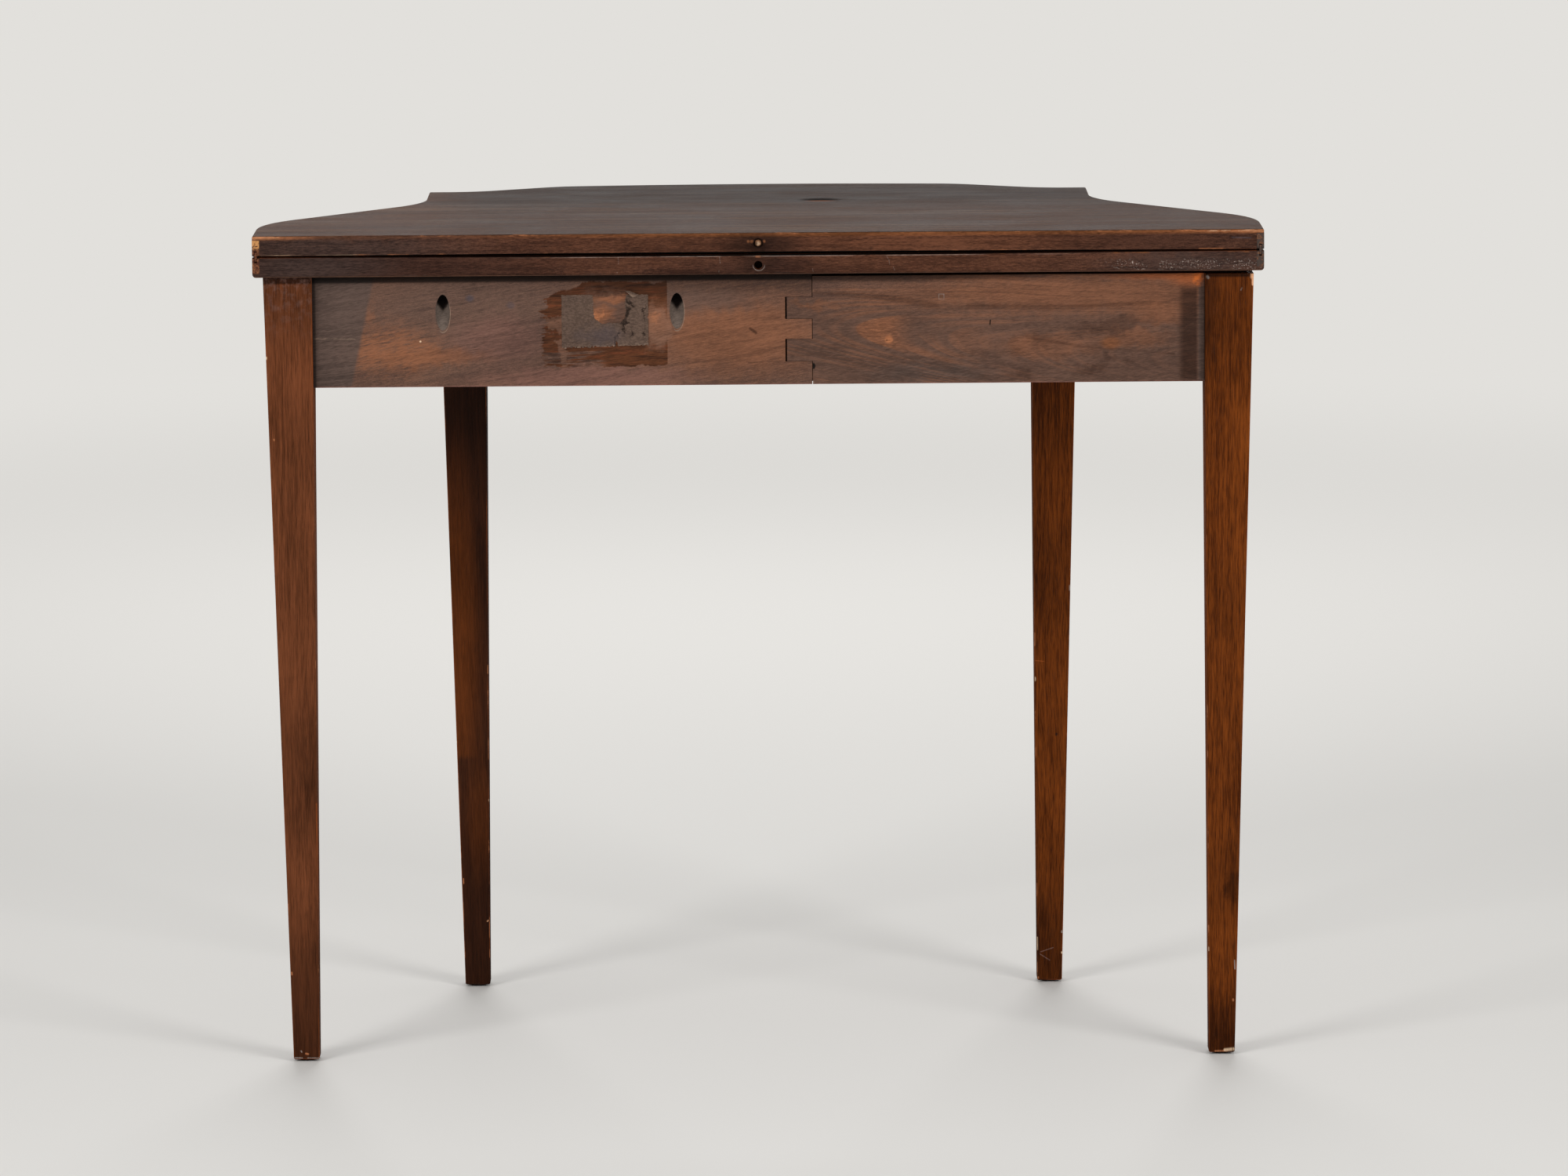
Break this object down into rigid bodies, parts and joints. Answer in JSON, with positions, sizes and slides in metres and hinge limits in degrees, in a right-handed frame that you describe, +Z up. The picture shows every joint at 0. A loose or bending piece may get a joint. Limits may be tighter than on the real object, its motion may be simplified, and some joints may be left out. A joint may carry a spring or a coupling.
{
  "type": "fold-top games table",
  "caption": "Bow-fronted fold-top games table on tapered square legs, with a swinging fly leg on a wooden knuckle joint and brass card-table hinges.",
  "frame": {"origin": "on the floor, under the middle of the closed table's box, the peg in its back edge included", "axes": "+X to the right of someone in front, +Y towards the straight back, +Z up; the bowed front faces -Y"},
  "size_m": [0.914, 0.4579, 0.762],
  "materials": {
    "mahogany_leaf": "worn shellac, matt",
    "mahogany_leg": "satin shellac",
    "mahogany_apron": "satin shellac",
    "back_rail_wood": "bare, grimed",
    "inner_wood": "bare, aged",
    "peg_wood": "bare, rubbed",
    "brass": "tarnished",
    "iron": "dark, unpolished",
    "glide_steel": "dulled"
  },
  "bodies": {
    "frame": {"fixed_leaf": "mahogany_leaf", "fixed_back_leg": "mahogany_leg", "front_leg_left": "mahogany_leg", "front_leg_right": "mahogany_leg", "front_rail": "mahogany_apron", "side_rail_left": "mahogany_apron", "side_rail_right": "mahogany_apron", "knuckle_rail": "back_rail_wood", "inner_back_rail": "inner_wood", "glue_block_left": "inner_wood", "glue_block_middle": "inner_wood", "glue_block_right": "inner_wood", "corner_block": "inner_wood", "knuckle_pin": "iron", "top_screws": "iron", "fixed_back_glide": "glide_steel", "front_leg_glide_left": "glide_steel", "front_leg_glide_right": "glide_steel", "hinge_lower_strap_left": "brass", "hinge_lower_pin_left": "brass", "hinge_lower_screws_left": "brass", "hinge_lower_strap_right": "brass", "hinge_lower_pin_right": "brass", "hinge_lower_screws_right": "brass"},
    "fly_gate": {"fly_rail": "back_rail_wood", "fly_leg": "mahogany_leg", "fly_leg_glide": "glide_steel"},
    "hinge_links": {"hinge_link_left": "brass", "hinge_link_right": "brass"},
    "folding_top": {"folding_leaf": "mahogany_leaf", "leaf_peg": "peg_wood", "hinge_upper_strap_left": "brass", "hinge_upper_pin_left": "brass", "hinge_upper_screws_left": "brass", "hinge_upper_strap_right": "brass", "hinge_upper_pin_right": "brass", "hinge_upper_screws_right": "brass"}
  },
  "joints": [
    {"name": "gate_swing", "type": "hinge", "parent": "frame", "child": "fly_gate", "pos_m": [-0.0367, 0.1995, 0.6741], "axis": [0, 0, -1], "range_deg": [0, 90]},
    {"name": "lower_hinge", "type": "hinge", "parent": "frame", "child": "hinge_links", "pos_m": [0, 0.2206, 0.74], "axis": [-1, 0, 0], "range_deg": [0, 90]},
    {"name": "upper_hinge", "type": "hinge", "parent": "hinge_links", "child": "folding_top", "pos_m": [0, 0.2206, 0.7461], "axis": [-1, 0, 0], "range_deg": [0, 90]}
  ],
  "couplings": [
    {"joint": "upper_hinge", "follows": "lower_hinge", "ratio": 1}
  ]
}
